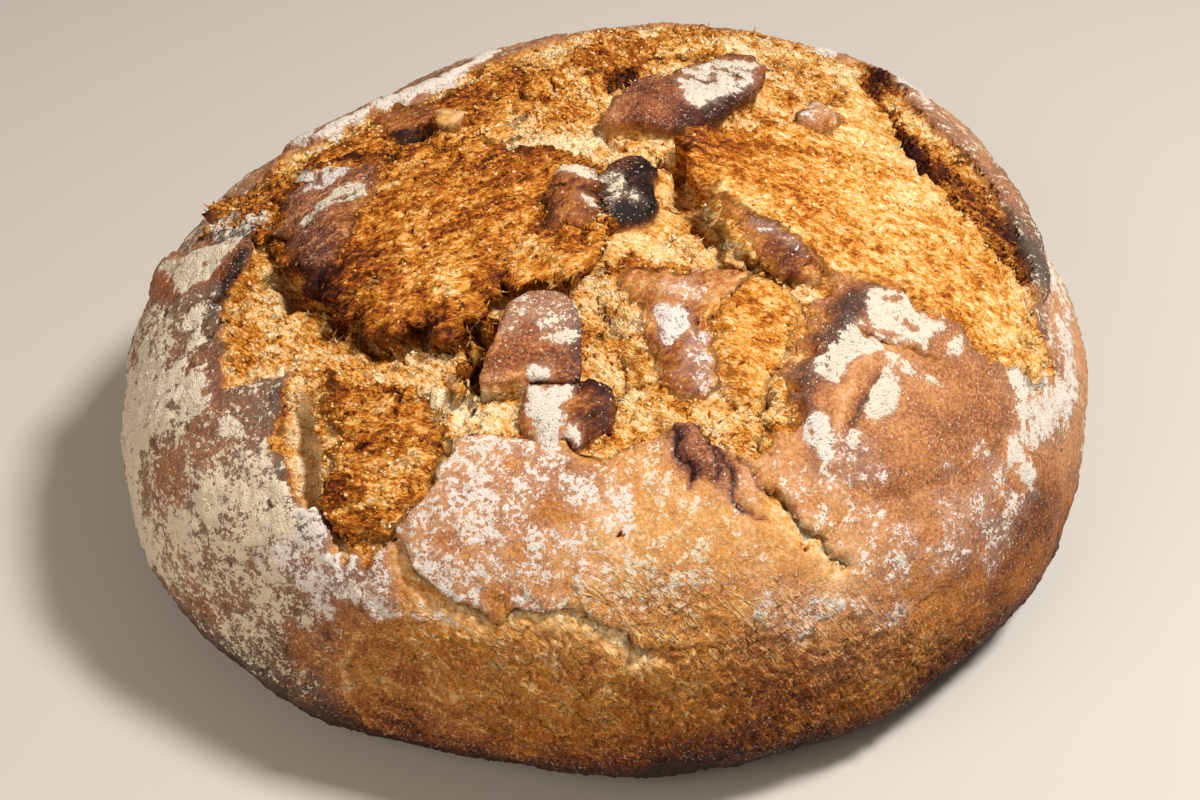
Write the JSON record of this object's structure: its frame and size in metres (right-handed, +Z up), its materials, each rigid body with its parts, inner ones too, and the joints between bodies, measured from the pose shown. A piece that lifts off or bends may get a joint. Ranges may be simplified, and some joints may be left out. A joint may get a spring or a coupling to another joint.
{
  "type": "durum wheat bread loaf",
  "caption": "Round rustic durum wheat loaf, free-baked, with a flat underside, a floured crust and a crown burst open into a torn mouth with slabs of toasted crumb.",
  "frame": {"origin": "on the flat underside, straight below the middle of the crown", "axes": "+Z up from the underside through the crown, -Y towards the side the loaf is seen from, +X to the right of that view"},
  "size_m": [0.3365, 0.3265, 0.138],
  "materials": {
    "crust": "dry matt baked crust, golden to dark brown, floured in patches, with paler torn crumb at the crown"
  },
  "bodies": {
    "root": {"loaf": "crust"}
  },
  "joints": []
}
